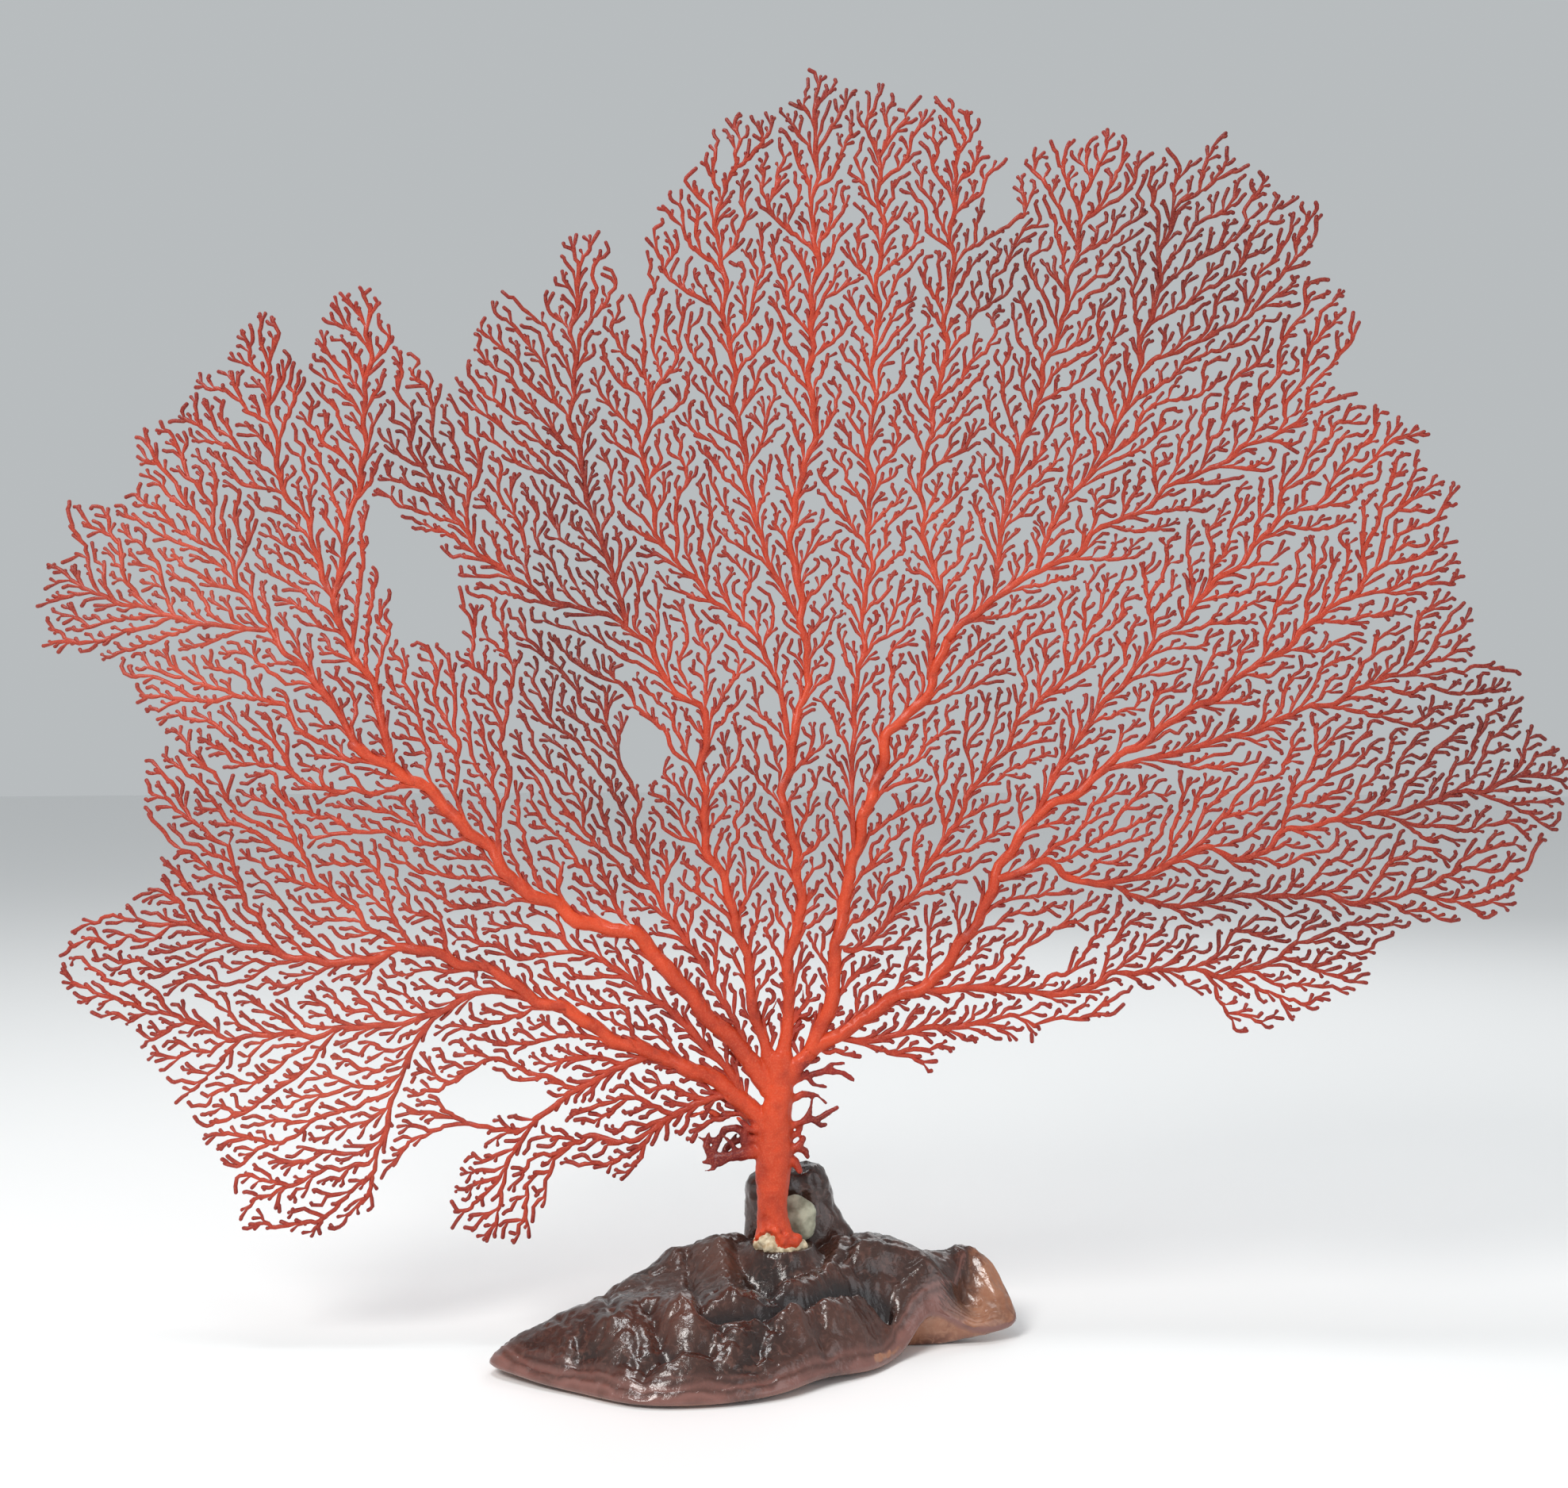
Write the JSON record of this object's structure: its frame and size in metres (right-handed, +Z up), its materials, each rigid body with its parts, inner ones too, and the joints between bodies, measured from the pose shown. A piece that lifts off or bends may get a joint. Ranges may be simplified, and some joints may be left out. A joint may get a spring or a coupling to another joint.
{
  "type": "sea fan",
  "caption": "Flat red-orange gorgonian sea fan on a short trunk, standing with its pale holdfast stone in a lumpy lacquered brown bracket base.",
  "frame": {"origin": "on the surface that the base rests on, under the trunk's axis", "axes": "+X to the right of the fan's front along its width, +Y to its back through its thin side, +Z up"},
  "size_m": [0.4196, 0.0809, 0.3479],
  "materials": {
    "coral": "matt orange-red gorgonian rind, finely granular, darker towards the twig tips",
    "lacquered_base": "dark chocolate brown, glossy as if lacquered, finely wrinkled, pinkish brown at the rim",
    "pale_stone": "matt grey-cream stone with a thin crust of coral"
  },
  "bodies": {
    "root": {"base": "lacquered_base", "holdfast_stone": "pale_stone", "trunk": "coral", "limb_lower_left": "coral", "limb_low_band": "coral", "limb_upper_left": "coral", "limb_left_crown": "coral", "limb_far_left": "coral", "limb_mid_left": "coral", "limb_centre": "coral", "limb_right_centre": "coral", "limb_top_right": "coral", "limb_upper_right": "coral", "limb_right": "coral", "limb_right_reach": "coral", "limb_lower_right": "coral", "limb_right_fringe": "coral"}
  },
  "joints": []
}
